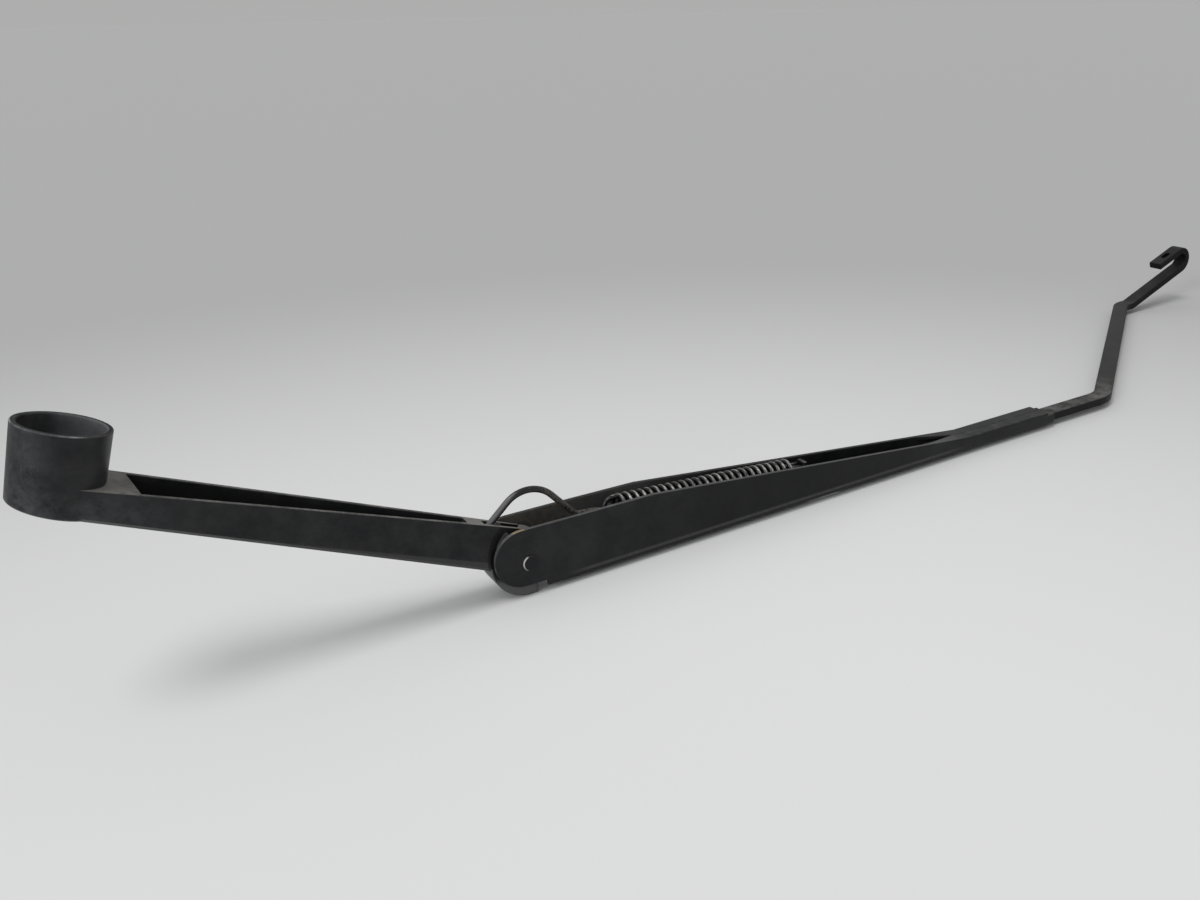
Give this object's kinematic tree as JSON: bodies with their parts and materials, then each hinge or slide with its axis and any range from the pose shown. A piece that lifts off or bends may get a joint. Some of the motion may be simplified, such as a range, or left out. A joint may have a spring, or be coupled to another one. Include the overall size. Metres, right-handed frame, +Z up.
{
  "type": "wiper arm",
  "caption": "Car windscreen wiper arm lying on its back: cast head with a round spindle skirt, sprung hinge, folded steel channel and a cranked flat bar ending in a hook",
  "frame": {"origin": "middle of the arm's bounding box, on the table it lies on", "axes": "+X runs along the channel from the head to the hook, +Z up off the table towards the side that faces the glass, +Y to the side the bar is cranked to"},
  "size_m": [0.681, 0.127, 0.0966],
  "materials": {
    "head_paint": "satin black paint on a die casting",
    "channel_paint": "satin black paint on folded sheet",
    "bar_paint": "satin black paint on flat steel bar",
    "rivet_paint": "satin black paint, worn bright at the edge",
    "link_wire": "dark coated wire with dust",
    "spring_wire": "dark phosphated spring wire",
    "pin_steel": "plain steel",
    "bush_nylon": "black nylon"
  },
  "bodies": {
    "head": {"arm_head": "head_paint", "link_pin": "pin_steel", "hinge_bush_near": "bush_nylon", "hinge_bush_far": "bush_nylon"},
    "retainer": {"retainer": "channel_paint", "arm_bar": "bar_paint", "hinge_rivet": "rivet_paint"},
    "link": {"spring_link": "link_wire", "tension_spring": "spring_wire"}
  },
  "joints": [
    {"name": "arm_hinge", "type": "hinge", "parent": "head", "child": "retainer", "pos_m": [-0.19709, -0.0513, 0.0136], "axis": [0, 1, 0], "range_deg": [0, 75], "stiffness_Nm_per_rad": 0.4, "springref_deg": -143.24, "deforming": ["tension_spring"]},
    {"name": "link_swing", "type": "hinge", "parent": "head", "child": "link", "pos_m": [-0.20693, -0.0513, 0.02569], "axis": [0, 1, 0], "range_deg": [0, 67.7]}
  ],
  "couplings": [
    {"joint": "link_swing", "follows": "arm_hinge", "ratio": 0.9015}
  ]
}
